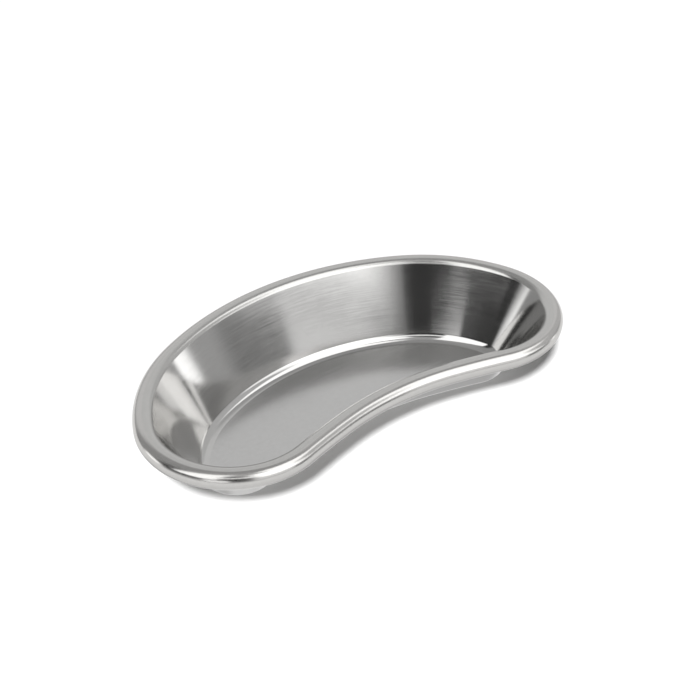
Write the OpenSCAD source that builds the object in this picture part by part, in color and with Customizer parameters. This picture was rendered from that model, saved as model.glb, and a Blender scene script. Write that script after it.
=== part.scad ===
// Kidney dish, deep drawn from one sheet of stainless steel, with a rounded rim
// whose edge is rolled under into a hollow bead.
// Frame: +X along the dish, +Y towards the convex back, +Z up. The origin is on
// the surface that the dish stands on, at the middle of its length and width.
// The dish is one piece of metal. Its nodes are the zones that it is formed in,
// and they meet face to face.

/* [Overall size] */
// Length over the rim, end to end
length = 250; // [244:1:258]
// Width over the rim, from the back to the front of the ends
width = 136; // [134:0.5:138]
// Height from the table to the top of the rim
height = 40; // [36:1:46]
// Thickness of the steel sheet
sheet = 0.7; // [0.5:0.1:1]

/* [Plan outline] */
// Radius of each rounded end
end_radius = 49.5; // [48.5:0.5:50.5]
// Depth of the hollow in the front, behind the fronts of the ends
hollow_depth = 13; // [12.5:0.25:13.5]

/* [Section through the rim] */
// Outside radius of the rolled bead
bead_radius = 5; // [4.4:0.1:5.2]
// Angle that the rolled sheet turns through
bead_wrap = 270; // [240:5:280]
// Distance in from the outer edge to where the top of the rim starts to bend down
lip_inset = 6.4; // [6.2:0.1:8]
// Radius over that bend, on its upper face
lip_radius = 4.5; // [4:0.5:6]

/* [Section through the bowl] */
// Distance in from the outer edge to where the flat floor starts
floor_inset = 36; // [35:0.5:38]
// Radius between the wall and the floor, on its upper face
base_radius = 7; // [5:0.5:8]

/* [Hidden] */
$fn = 180;

function unit(v) = v / norm(v);
function bearing(a) = [sin(a), cos(a)]; // a degrees clockwise from +Y
function across(v) = [-v[0], v[1]]; // to the other side of the middle

// The outline is a ring of arcs that run into each other smoothly. Neighbouring
// arcs have their centres on one line, and meet where it crosses the outline.
// The lines' directions are sides of whole-number right triangles, which makes
// the centres and radii round numbers.
back_to_shoulder = [8, 15];
shoulder_to_end = [12, 5];
flank_to_end = [7, 24];
flank_to_hollow = [9, 40];

// The end's centre, and what the other arcs' radii differ by, follow from the
// overall sizes. Each pair is the solution of two linear equations.
function solve(p, q, total) =
    [total[0] * q[1] - total[1] * q[0], p[0] * total[1] - p[1] * total[0]]
    / (p[0] * q[1] - p[1] * q[0]);
function reach(joint) = [unit(joint)[0], 1 - unit(joint)[1]];

end_x = length / 2 - end_radius;
back_steps = solve(reach(back_to_shoulder), reach(shoulder_to_end), [end_x, width - 2 * end_radius]);
front_steps = solve(reach(flank_to_end), -reach(flank_to_hollow), [end_x, hollow_depth]);

shoulder_radius = end_radius + back_steps[1];
back_radius = shoulder_radius + back_steps[0];
flank_radius = front_steps[0] - end_radius;
hollow_radius = flank_radius - front_steps[1];

end_centre = [end_x, end_radius - width / 2];
shoulder_centre = end_centre - back_steps[1] * unit(shoulder_to_end);
back_centre = [0, width / 2 - back_radius];
flank_centre = end_centre - front_steps[0] * unit(flank_to_end);
hollow_centre = [0, hollow_depth - width / 2 - hollow_radius];

// Each arc is its centre, its radius, the directions of its two end lines, and
// whether it is concave, with the dish outside it.
back_arc = [back_centre, back_radius, across(back_to_shoulder), back_to_shoulder, false];
shoulder_arc = [shoulder_centre, shoulder_radius, back_to_shoulder, shoulder_to_end, false];
end_arc = [end_centre, end_radius, shoulder_to_end, -flank_to_end, false];
flank_arc = [flank_centre, flank_radius, flank_to_end, flank_to_hollow, true];
hollow_arc = [hollow_centre, hollow_radius, flank_to_hollow, across(flank_to_hollow), true];
middle_arcs = [back_arc, hollow_arc];
right_arcs = [shoulder_arc, end_arc, flank_arc];

// Section through the sheet. X is the distance in from the outer edge and Y is
// the height. The wall is the straight line that touches the lip's and the
// base's radii.
bead_centre = [bead_radius, height - bead_radius];
lip_centre = [lip_inset, height - lip_radius];
base_centre = [floor_inset, sheet + base_radius];
lip_to_base = base_centre - lip_centre;
wall_from_vertical = atan2(lip_to_base[1], lip_to_base[0])
    + acos((lip_radius + base_radius) / norm(lip_to_base));
wall_facing = 90 - wall_from_vertical;
wall_top = lip_centre + lip_radius * bearing(wall_facing);
wall_foot = base_centre - base_radius * bearing(wall_facing);

// The swept floor stops at the ends' centres. A flat plate fills its middle,
// with its corners this far in from the outer edge.
plate_inset = end_radius - 5;
wedge_scale = 40; // takes the end lines well past the outline
margin = 1;

function inset_point(arc, direction, inset) =
    arc[0] + (arc[1] + (arc[4] ? inset : -inset)) * unit(direction);

// Sheet bent round a centre, facing from one bearing to another. The radius is
// that of the outside of the bend.
module bend(centre, radius, from, to) {
    sides = ceil((to - from) / 60);
    translate(centre) intersection() {
        difference() {
            circle(radius);
            circle(radius - sheet);
        }
        polygon(concat([[0, 0]],
            [for (i = [0 : sides]) 2 * radius * bearing(from + (to - from) * i / sides)]));
    }
}

// Carries a section along one arc of the outline.
module along_arc(arc) {
    translate(arc[0]) intersection() {
        rotate_extrude() translate([arc[1], 0]) mirror([arc[4] ? 0 : 1, 0]) children();
        translate([0, 0, -margin]) linear_extrude(height + 2 * margin)
            polygon([[0, 0], wedge_scale * arc[2], wedge_scale * arc[3]]);
    }
}

// Carries a section around the whole outline.
module around_dish() {
    for (arc = middle_arcs) along_arc(arc) children();
    for (side = [0, 1]) mirror([side, 0, 0])
        for (arc = right_arcs) along_arc(arc) children();
}

module floor_panel() {
    right = concat(
        [inset_point(back_arc, [0, 1], plate_inset)],
        [for (arc = right_arcs) inset_point(arc, arc[2], plate_inset)],
        [inset_point(hollow_arc, hollow_arc[2], plate_inset)],
        [inset_point(hollow_arc, [0, 1], plate_inset)]);
    left = [for (i = [len(right) - 2 : -1 : 1]) across(right[i])];
    color("darkgray") {
        around_dish() translate([floor_inset, 0]) square([end_radius - floor_inset, sheet]);
        linear_extrude(sheet) polygon(concat(right, left));
    }
}

module base_curve() {
    color("gray") around_dish() bend(base_centre, base_radius + sheet, 180, 180 + wall_facing);
}

module side_wall() {
    through = sheet * bearing(wall_facing);
    color("silver") around_dish()
        polygon([wall_foot, wall_top, wall_top - through, wall_foot - through]);
}

module rim_flange() {
    color("lightgray") around_dish() {
        bend(lip_centre, lip_radius, 0, wall_facing);
        translate([bead_radius, height - sheet]) square([lip_inset - bead_radius, sheet]);
    }
}

module rolled_bead() {
    color("gainsboro") around_dish() bend(bead_centre, bead_radius, -bead_wrap, 0);
}

floor_panel();
base_curve();
side_wall();
rim_flange();
rolled_bead();
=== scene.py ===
import math
from collections import namedtuple

import bpy
import numpy as np
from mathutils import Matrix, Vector


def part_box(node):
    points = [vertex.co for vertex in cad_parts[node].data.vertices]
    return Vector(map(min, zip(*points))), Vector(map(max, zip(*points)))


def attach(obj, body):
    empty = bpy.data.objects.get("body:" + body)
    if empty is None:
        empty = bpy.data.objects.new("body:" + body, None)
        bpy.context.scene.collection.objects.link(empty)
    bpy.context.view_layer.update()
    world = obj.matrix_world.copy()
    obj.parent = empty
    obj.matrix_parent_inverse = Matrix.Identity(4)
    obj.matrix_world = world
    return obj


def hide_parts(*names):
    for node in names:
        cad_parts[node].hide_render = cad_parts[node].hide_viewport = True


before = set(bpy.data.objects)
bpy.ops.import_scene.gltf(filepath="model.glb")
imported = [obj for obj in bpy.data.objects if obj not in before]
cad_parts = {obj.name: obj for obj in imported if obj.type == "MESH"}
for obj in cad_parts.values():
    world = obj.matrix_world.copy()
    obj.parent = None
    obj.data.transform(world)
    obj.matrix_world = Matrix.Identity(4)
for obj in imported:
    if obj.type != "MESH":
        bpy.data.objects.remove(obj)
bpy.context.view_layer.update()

# ---------------------------------------------------------------- sizes, in metres
# The overall sizes come from the CAD frame. The rest are the design's own.
floor_low, floor_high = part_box("floor_panel")
bead_low, bead_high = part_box("rolled_bead")

LENGTH = round(bead_high.x - bead_low.x, 4)
WIDTH = round(bead_high.y - bead_low.y, 4)
HEIGHT = round(bead_high.z, 4)
SHEET = round(floor_high.z - floor_low.z, 4)
FLOOR_INSET = round(floor_low.x - bead_low.x, 4)
BEAD_RADIUS = round((bead_high.z - bead_low.z) / 2, 4)

END_RADIUS = 0.0495
HOLLOW_DEPTH = 0.013
BEAD_WRAP = 270           # degrees that the rolled sheet turns through
LIP_INSET = 0.0064
LIP_RADIUS = 0.0045
BASE_RADIUS = 0.007

STATION_STEP = 0.0012     # along the outline
BEND_STEP = 4.0           # degrees, across a bend


# ---------------------------------------------------------------- plan outline
def unit(x, y):
    """Unit vector along x, y."""
    return np.array([x, y]) / math.hypot(x, y)


def outline_arcs():
    """The right half of the outline, from the middle of the back, as arcs: centre, radius,
    first and last bearing clockwise from +Y, and 1 for a convex arc or -1 for a concave one."""
    back_line, shoulder_line = unit(8, 15), unit(12, 5)
    flank_line, hollow_line = unit(7, 24), unit(9, 40)
    end_x = LENGTH / 2 - END_RADIUS
    to_shoulder, to_end = np.linalg.solve(
        [[back_line[0], shoulder_line[0]], [1 - back_line[1], 1 - shoulder_line[1]]],
        [end_x, WIDTH - 2 * END_RADIUS])
    to_flank, to_hollow = np.linalg.solve(
        [[flank_line[0], -hollow_line[0]], [1 - flank_line[1], hollow_line[1] - 1]],
        [end_x, HOLLOW_DEPTH])
    shoulder_radius = END_RADIUS + to_end
    back_radius = shoulder_radius + to_shoulder
    flank_radius = to_flank - END_RADIUS
    hollow_radius = flank_radius - to_hollow

    end_centre = np.array([end_x, END_RADIUS - WIDTH / 2])
    shoulder_centre = end_centre - to_end * shoulder_line
    back_centre = np.array([0, WIDTH / 2 - back_radius])
    flank_centre = end_centre - to_flank * flank_line
    hollow_centre = np.array([0, HOLLOW_DEPTH - WIDTH / 2 - hollow_radius])

    back, shoulder, flank, hollow = (
        math.atan2(*line) for line in (back_line, shoulder_line, flank_line, hollow_line))
    return [
        (back_centre, back_radius, 0, back, 1),
        (shoulder_centre, shoulder_radius, back, shoulder, 1),
        (end_centre, END_RADIUS, shoulder, math.pi + flank, 1),
        (flank_centre, flank_radius, flank, hollow, -1),
        (hollow_centre, hollow_radius, hollow, 0, -1),
    ]


def outline_stations():
    """Points round the whole outer edge, clockwise, with their outward normals and the
    distance along the edge."""
    points, normals = [], []
    for centre, radius, first, last, side in outline_arcs():
        count = math.ceil(abs(last - first) * radius / STATION_STEP)
        for bearing in np.linspace(first, last, count, endpoint=False):
            direction = np.array([math.sin(bearing), math.cos(bearing)])
            points.append(centre + radius * direction)
            normals.append(side * direction)
    points.append(np.array([0, HOLLOW_DEPTH - WIDTH / 2]))
    normals.append(np.array([0.0, -1.0]))
    points, normals = np.array(points), np.array(normals)
    left = slice(-2, 0, -1)   # all but the two middle stations, backwards
    points = np.vstack([points, points[left] * [-1, 1]])
    normals = np.vstack([normals, normals[left] * [-1, 1]])
    steps = np.linalg.norm(np.roll(points, -1, axis=0) - points, axis=1)
    return points, normals, np.concatenate([[0], np.cumsum(steps)])


EDGE_POINTS, EDGE_NORMALS, EDGE_LENGTHS = outline_stations()


# ---------------------------------------------------------------- section
# A run is the sheet's upper face in section: rows of distance in from the outer edge,
# height, and the two parts of the face's normal.
def bend(centre, radius, first, last, hollow=False):
    """The run round a bend, facing from one tilt to another, in degrees. The tilt is 0
    upwards and 90 inwards."""
    count = math.ceil(abs(last - first) / BEND_STEP)
    tilt = np.radians(np.linspace(first, last, count + 1))
    facing = np.column_stack([np.sin(tilt), np.cos(tilt)])
    return np.hstack([np.array(centre) + (-radius if hollow else radius) * facing, facing])


def straight(run_before, run_after, count):
    """The flat run between the end of one run and the start of another."""
    share = np.linspace(0, 1, count + 1)[:, None]
    run = (1 - share) * run_before[-1] + share * run_after[0]
    run[:, 2:] = run_before[-1, 2:]
    return run


def join_runs(*runs):
    """One run from several that follow each other."""
    return np.vstack([runs[0]] + [run[1:] for run in runs[1:]])


def wall_tilt():
    """The tilt of the wall's upper face: it touches both the lip's and the base's bends."""
    across = FLOOR_INSET - LIP_INSET
    down = HEIGHT - LIP_RADIUS - SHEET - BASE_RADIUS
    from_vertical = (math.acos((LIP_RADIUS + BASE_RADIUS) / math.hypot(across, down))
                     - math.atan2(down, across))
    return 90 - math.degrees(from_vertical)


WALL_TILT = wall_tilt()
bead_run = bend((BEAD_RADIUS, HEIGHT - BEAD_RADIUS), BEAD_RADIUS, -BEAD_WRAP, 0)
lip_run = bend((LIP_INSET, HEIGHT - LIP_RADIUS), LIP_RADIUS, 0, WALL_TILT)
base_run = bend((FLOOR_INSET, SHEET + BASE_RADIUS), BASE_RADIUS, WALL_TILT, 0, hollow=True)
rim_run = join_runs(straight(bead_run, lip_run, 4), lip_run)
wall_run = straight(lip_run, base_run, 14)


# ---------------------------------------------------------------- materials
class Nodes:
    """Builds a node tree, one call per node."""

    def __init__(self, tree):
        self.tree = tree

    def add(self, kind, inputs=None, **settings):
        """A node of that kind, with its settings and inputs. An input is a value or another
        node's output."""
        node = self.tree.nodes.new(kind)
        for key, value in settings.items():
            setattr(node, key, value)
        for key, value in (inputs or {}).items():
            if isinstance(value, bpy.types.NodeSocket):
                self.tree.links.new(value, node.inputs[key])
            else:
                node.inputs[key].default_value = value
        return node

    def math(self, operation, *values):
        """The result of a sum on one or more values."""
        return self.add("ShaderNodeMath", dict(enumerate(values)), operation=operation).outputs[0]

    def mix(self, factor, first, second):
        """The first value where the factor is 0, and the second where it is 1."""
        inputs = {"Factor": factor, "A": first, "B": second}
        return self.add("ShaderNodeMix", inputs, data_type="FLOAT").outputs["Result"]

    def noise(self, vector, scale, detail=2.0, roughness=0.5):
        """Smooth noise from 0 to 1."""
        inputs = {"Vector": vector, "Scale": scale, "Detail": detail, "Roughness": roughness}
        return self.add("ShaderNodeTexNoise", inputs).outputs["Fac"]

    def between(self, value, low, high, to_low=0.0, to_high=1.0):
        """A value carried from one range to another, and held at its ends."""
        inputs = {"Value": value, "From Min": low, "From Max": high, "To Min": to_low, "To Max": to_high}
        return self.add("ShaderNodeMapRange", inputs, interpolation_type="SMOOTHSTEP").outputs["Result"]


# The steel's texture, in cells of noise to the metre.
LINES_ALONG = 45.0        # polishing lines, along the sweep
LINES_ACROSS = 2600.0     # and across it
CLOUD_SCALE = 55.0        # slow changes in the polish
WEAR_SCALE = 420.0        # fine marks from use
STREAKS = 0.02            # how much the lines vary the roughness


def brushed_steel(name, tint, roughness, grain, anisotropy):
    """Stainless steel with polishing lines that run along the sweep. tint is its colour, and
    grain how deep the lines are, in metres."""
    material = bpy.data.materials.new(name)
    material.use_nodes = True
    nodes = Nodes(material.node_tree)
    shader = material.node_tree.nodes["Principled BSDF"]
    shader.inputs["Metallic"].default_value = 1.0
    shader.inputs["Anisotropic"].default_value = anisotropy
    shader.inputs["Anisotropic Rotation"].default_value = 0.25

    place = nodes.add("ShaderNodeTexCoord").outputs["Object"]
    sweep = nodes.add("ShaderNodeUVMap", uv_map="along_and_across").outputs["UV"]
    tangent = nodes.add("ShaderNodeTangent", direction_type="UV_MAP", uv_map="along_and_across")
    material.node_tree.links.new(tangent.outputs["Tangent"], shader.inputs["Tangent"])

    # Fine across the sheet and long along it: the position sets the slow change.
    spot = nodes.add("ShaderNodeSeparateXYZ", {0: place})
    across = nodes.add("ShaderNodeSeparateXYZ", {0: sweep}).outputs["Y"]
    lines = nodes.add("ShaderNodeCombineXYZ", {
        "X": nodes.math("MULTIPLY", spot.outputs["X"], LINES_ALONG),
        "Y": nodes.math("MULTIPLY", spot.outputs["Y"], LINES_ALONG),
        "Z": nodes.math("MULTIPLY", across, LINES_ACROSS)}).outputs[0]
    fine = nodes.noise(lines, 1.0, detail=3.0, roughness=0.65)
    cloud = nodes.noise(place, CLOUD_SCALE, detail=4.0, roughness=0.55)
    wear = nodes.noise(place, WEAR_SCALE, detail=3.0, roughness=0.6)

    varied = nodes.math("ADD",
                        nodes.between(fine, 0.3, 0.7, -STREAKS, STREAKS),
                        nodes.between(cloud, 0.3, 0.7, -0.6 * STREAKS, 0.6 * STREAKS))
    varied = nodes.math("ADD", varied, roughness)
    material.node_tree.links.new(varied, shader.inputs["Roughness"])

    shade = nodes.math("MULTIPLY",
                       nodes.between(fine, 0.25, 0.75, 0.965, 1.0),
                       nodes.between(wear, 0.2, 0.8, 0.97, 1.0))
    colour = nodes.add("ShaderNodeMix", {"Factor": shade, "A": (0, 0, 0, 1), "B": (*tint, 1)},
                       data_type="RGBA", blend_type="MIX")
    material.node_tree.links.new(colour.outputs["Result"], shader.inputs["Base Color"])

    height = nodes.math("ADD",
                        nodes.math("MULTIPLY", fine, grain),
                        nodes.math("MULTIPLY", wear, 0.4 * grain))
    bump = nodes.add("ShaderNodeBump", {"Strength": 1.0, "Distance": 1.0, "Height": height})
    material.node_tree.links.new(bump.outputs["Normal"], shader.inputs["Normal"])
    return material


# ---------------------------------------------------------------- meshes
def add_piece(name, node, mesh_data, material):
    """Makes the mesh object that stands for a CAD node. mesh_data is its vertices, its faces,
    and a normal and a UV for each corner of each face."""
    vertices, faces, normals, uvs = mesh_data
    mesh = bpy.data.meshes.new(name)
    mesh.from_pydata(vertices, [], faces)
    layer = mesh.uv_layers.new(name="along_and_across")
    layer.data.foreach_set("uv", np.asarray(uvs, np.float32).ravel())
    mesh.shade_smooth()
    mesh.normals_split_custom_set(normals)
    mesh.materials.append(material)
    piece = bpy.data.objects.new(name, mesh)
    bpy.context.scene.collection.objects.link(piece)
    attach(piece, "root")
    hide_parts(node)
    return piece


def swept_sheet(run):
    """The mesh of a closed band of sheet: a run carried round the outline."""
    upper, facing = run[:, :2], run[:, 2:]
    section = np.vstack([upper, (upper - SHEET * facing)[::-1]])
    faced = np.vstack([facing, -facing[::-1]])
    reach = np.concatenate([[0], np.cumsum(np.linalg.norm(np.diff(upper, axis=0), axis=1))])
    across = np.concatenate([reach, reach[::-1]])

    # One strip of faces from each row of the section to the next. The two cut edges have
    # one normal each, so that they stay sharp.
    row = np.arange(len(section))
    after = np.roll(row, -1)
    normal, normal_after = faced[row], faced[after]
    far_edge, near_edge = len(run) - 1, len(section) - 1
    normal[far_edge] = normal_after[far_edge] = unit(*(upper[-1] - upper[-2]))
    normal[near_edge] = normal_after[near_edge] = unit(*(upper[0] - upper[1]))

    count = len(EDGE_POINTS)
    stations = np.arange(count)[None, :, None] + np.array([0, 0, 1, 1])
    corners = np.stack([row, after, after, row], axis=1)[:, None, :]
    tilts = np.stack([normal, normal_after, normal_after, normal], axis=1)[:, None]
    faces = corners * count + stations % count
    outward = EDGE_NORMALS[stations % count]
    upward = np.broadcast_to(tilts[..., 1:], (len(section), count, 4, 1))
    normals = np.concatenate([-tilts[..., :1] * outward, upward], axis=-1)
    uvs = np.stack(np.broadcast_arrays(EDGE_LENGTHS[stations], across[corners]), axis=-1)
    vertices = np.vstack([
        np.column_stack([EDGE_POINTS - x * EDGE_NORMALS, np.full(count, z)]) for x, z in section])
    return vertices.tolist(), faces.reshape(-1, 4).tolist(), normals.reshape(-1, 3), uvs


def flat_plate():
    """The mesh of the floor: a plate inside the base's bend."""
    ring = EDGE_POINTS - FLOOR_INSET * EDGE_NORMALS
    count = len(ring)
    here = np.arange(count)
    there = np.roll(here, -1)
    vertices = np.vstack([np.column_stack([ring, np.full(count, z)]) for z in (SHEET, 0)])
    edge = np.stack([here, there, there + count, here + count], axis=1)
    faces = [here[::-1].tolist(), (here + count).tolist()] + edge.tolist()
    rim = EDGE_NORMALS[np.stack([here, there, there, here], axis=1)]
    normals = np.vstack([
        np.tile([0, 0, 1], (count, 1)), np.tile([0, 0, -1], (count, 1)),
        np.concatenate([rim, np.zeros((count, 4, 1))], axis=2).reshape(-1, 3)])
    uvs = np.vstack([ring[::-1], ring, ring[edge % count].reshape(-1, 2)])
    return vertices.tolist(), faces, normals, uvs


wall_steel = brushed_steel(
    "wall_steel", tint=(0.63, 0.625, 0.615), roughness=0.11, grain=0.6e-7, anisotropy=0.0)
floor_steel = brushed_steel(
    "floor_steel", tint=(0.63, 0.627, 0.62), roughness=0.18, grain=0.6e-7, anisotropy=0.0)
rim_steel = brushed_steel(
    "rim_steel", tint=(0.62, 0.615, 0.60), roughness=0.22, grain=1e-7, anisotropy=0.2)
bead_steel = brushed_steel(
    "bead_steel", tint=(0.64, 0.63, 0.615), roughness=0.20, grain=1e-7, anisotropy=0.2)

add_piece("floor", "floor_panel", flat_plate(), floor_steel)
add_piece("base_bend", "base_curve", swept_sheet(base_run), wall_steel)
add_piece("wall", "side_wall", swept_sheet(wall_run), wall_steel)
add_piece("rim", "rim_flange", swept_sheet(rim_run), rim_steel)
add_piece("bead", "rolled_bead", swept_sheet(bead_run), bead_steel)


# ---------------------------------------------------------------- camera
def direction(azimuth, elevation):
    """Unit vector from the object towards that azimuth, where 0 is -Y and 90 is +X."""
    a, e = math.radians(azimuth), math.radians(elevation)
    return Vector((math.sin(a) * math.cos(e), -math.cos(a) * math.cos(e), math.sin(e)))


# The angles are in degrees, and the distances in metres.
CAMERA_AZIMUTH = -36.5
CAMERA_ELEVATION = 36.1
CAMERA_DISTANCE = 0.710
CAMERA_AIM = Vector((-0.0017, -0.0131, 0.0414))
CAMERA_LENS = 71.1        # millimetres

camera = bpy.data.objects.new("camera", bpy.data.cameras.new("camera"))
bpy.context.scene.collection.objects.link(camera)
bpy.context.scene.camera = camera
camera.data.lens = CAMERA_LENS
camera.data.clip_start = 0.01
towards_camera = direction(CAMERA_AZIMUTH, CAMERA_ELEVATION)
camera.location = CAMERA_AIM + CAMERA_DISTANCE * towards_camera
camera.rotation_euler = towards_camera.to_track_quat("Z", "Y").to_euler()

# ---------------------------------------------------------------- table and sun
TABLE_SIZE = 6.0
TABLE_GAP = 0.0002        # below the dish, so that the two faces don't share a plane
PAPER_ALBEDO = 0.9
SUN_AZIMUTH = CAMERA_AZIMUTH - 6
SUN_ELEVATION = 48
SUN_SPREAD = 7            # degrees across, which softens the shadow
SUN_ENERGY = 4.6

bpy.ops.mesh.primitive_plane_add(size=TABLE_SIZE)
table = bpy.context.object
table.name = "table"
table.location.z = -TABLE_GAP
table.visible_glossy = False   # the steel mirrors the studio's paper instead

# The paper is white from above and clear from below, so that the underside can be seen.
paper = bpy.data.materials.new("paper")
paper.use_nodes = True
paper_nodes = Nodes(paper.node_tree)
white = paper.node_tree.nodes["Principled BSDF"]
white.inputs["Base Color"].default_value = (PAPER_ALBEDO, PAPER_ALBEDO, PAPER_ALBEDO, 1)
white.inputs["Roughness"].default_value = 0.9
from_below = paper_nodes.add("ShaderNodeNewGeometry").outputs["Backfacing"]
clear = paper_nodes.add("ShaderNodeBsdfTransparent").outputs["BSDF"]
sides = paper_nodes.add("ShaderNodeMixShader", {0: from_below, 1: white.outputs["BSDF"], 2: clear})
output = paper.node_tree.nodes["Material Output"]
paper.node_tree.links.new(sides.outputs["Shader"], output.inputs["Surface"])
table.data.materials.append(paper)

sun = bpy.data.objects.new("sun", bpy.data.lights.new("sun", "SUN"))
bpy.context.scene.collection.objects.link(sun)
sun.data.energy = SUN_ENERGY
sun.data.angle = math.radians(SUN_SPREAD)
sun.rotation_euler = direction(SUN_AZIMUTH, SUN_ELEVATION).to_track_quat("Z", "Y").to_euler()
sun.visible_glossy = False

# ---------------------------------------------------------------- studio
# What the steel mirrors: upright panels round the dish, over a sheet of paper. All but the
# brightness are in degrees. An azimuth is measured from the camera's, and is positive to
# the camera's right. facing is the azimuth where the panel is nearest, and low and high are
# the elevations of its edges there. Each blur is the width of a soft edge. Later panels
# cover earlier ones.
Panel = namedtuple("Panel", "facing left right low high side_blur edge_blur brightness")
PANELS = {
    "room_left": Panel(-115, -175, -55, -85, 75, 20, 20, 0.36),
    "room_behind": Panel(180, 130, 230, 10, 50, 16, 16, 0.74),
    "high_behind": Panel(150, 105, 195, 56, 90, 10, 10, 0.38),
    "right_wall": Panel(110, 90, 150, 15, 48, 10, 10, 0.60),
    "dark_side": Panel(-27, -84, 34, 13, 66, 12, 12, 0.05),
    "low_left": Panel(-88, -100, -78, -10, 13, 8, 8, 1.7),
    "dim_front": Panel(-27, -44, -14, 22, 30, 16, 16, 0.10),
    "low_front": Panel(-20, -30, -4, 5, 24.6, 2.5, 2.5, 1.3),
    "camera_light": Panel(0, -22, 32, 44, 53, 3, 3, 1.4),
    "left_light": Panel(-25, -66, -18, 29.6, 84, 2, 2, 1.7),
    "right_bounce": Panel(40, 20, 66, 8, 27, 26, 26, 0.62),
    "right_table": Panel(28, 22, 66, 5, 22.8, 4, 4, 0.95),
    "right_gap": Panel(78, 66, 90, -10, 24, 10, 10, 0.24),
    "right_low": Panel(24, 78, 92, 34, 50, 3, 3, 1.4),
    "high_right": Panel(90, 64, 125, 48, 80, 5, 5, 1.7),
    "right_light": Panel(28, 26, 79, 25.4, 69, 22, 2.5, 2.0),
    "far_right": Panel(107, 103, 112, -10, 8, 4, 4, 1.8),
}
STUDIO_GREY = 0.46        # where there is no panel
PAPER_NEAR_HORIZON = 0.95   # how bright the mirrored paper is
PAPER_UNDER_DISH = 0.84
PAPER_IN_SHADOW = 0.55
TABLE_FILL = 0.10         # the even light that reaches the table, besides the sun
BACKGROUND = 1.0          # what the camera sees past the table


def panel_cover(nodes, azimuth, level, rise, panel):
    """How much of a direction the panel covers, from 0 to 1. level and rise are the parts of
    the direction along the ground and upwards."""
    turned = nodes.math("RADIANS", nodes.math("SUBTRACT", azimuth, panel.facing))
    ahead = nodes.math("MULTIPLY", level, nodes.math("COSINE", turned))
    elevation = nodes.math("DEGREES", nodes.math("ARCTAN2", rise, ahead))
    off_middle = nodes.math("SUBTRACT", azimuth, (panel.left + panel.right) / 2)
    off_middle = nodes.math("ABSOLUTE", nodes.math("WRAP", off_middle, 180.0, -180.0))
    half_width = (panel.right - panel.left) / 2
    side, edge = panel.side_blur / 2, panel.edge_blur / 2
    between_sides = nodes.between(off_middle, half_width + side, half_width - side)
    above_low = nodes.between(elevation, panel.low - edge, panel.low + edge)
    below_high = nodes.between(elevation, panel.high + edge, panel.high - edge)
    return nodes.math("MULTIPLY", between_sides, nodes.math("MULTIPLY", above_low, below_high))


def mirrored_paper(nodes, azimuth, rise):
    """The brightness of the paper that the steel mirrors. It is darker near the dish, to the
    left and the right of its back, as where a shadow lies."""
    lit = nodes.between(rise, -0.2, -1.0, PAPER_NEAR_HORIZON, PAPER_UNDER_DISH)
    forward = nodes.math("COSINE", nodes.math("RADIANS", azimuth))
    turned = nodes.math("MULTIPLY",
                        nodes.between(forward, 0.1, -0.5),
                        nodes.between(forward, -0.98, -0.8))
    dipped = nodes.math("MULTIPLY",
                        nodes.between(rise, -0.5, -0.8),
                        nodes.between(rise, -0.995, -0.94))
    return nodes.mix(nodes.math("MULTIPLY", turned, dipped), lit, PAPER_IN_SHADOW)


def mirrored_studio(nodes):
    """The brightness that the steel mirrors in each direction."""
    ray = nodes.add("ShaderNodeTexCoord").outputs["Generated"]
    ray = nodes.add("ShaderNodeSeparateXYZ", {0: ray})
    rise = ray.outputs["Z"]
    level = nodes.math("SQRT", nodes.math("SUBTRACT", 1.0, nodes.math("POWER", rise, 2.0)))
    forward = nodes.math("MULTIPLY", ray.outputs["Y"], -1.0)
    azimuth = nodes.math("DEGREES", nodes.math("ARCTAN2", ray.outputs["X"], forward))
    azimuth = nodes.math("SUBTRACT", azimuth, CAMERA_AZIMUTH)
    brightness = STUDIO_GREY
    for panel in PANELS.values():
        covered = panel_cover(nodes, azimuth, level, rise, panel)
        brightness = nodes.mix(covered, brightness, panel.brightness)
    below_horizon = nodes.between(rise, 0.0, -0.03)
    return nodes.mix(below_horizon, brightness, mirrored_paper(nodes, azimuth, rise))


world = bpy.data.worlds.new("studio")
bpy.context.scene.world = world
world.use_nodes = True
world.cycles.sampling_method = "NONE"   # the panels light nothing but reflections
world_nodes = Nodes(world.node_tree)
rays = world_nodes.add("ShaderNodeLightPath").outputs
seen = world_nodes.mix(rays["Is Glossy Ray"], TABLE_FILL, mirrored_studio(world_nodes))
seen = world_nodes.mix(rays["Is Camera Ray"], seen, BACKGROUND)
world.node_tree.links.new(seen, world.node_tree.nodes["Background"].inputs["Color"])

bpy.context.scene.cycles.glossy_bounces = 8   # the steel mirrors itself
bpy.context.scene.view_settings.view_transform = "Standard"
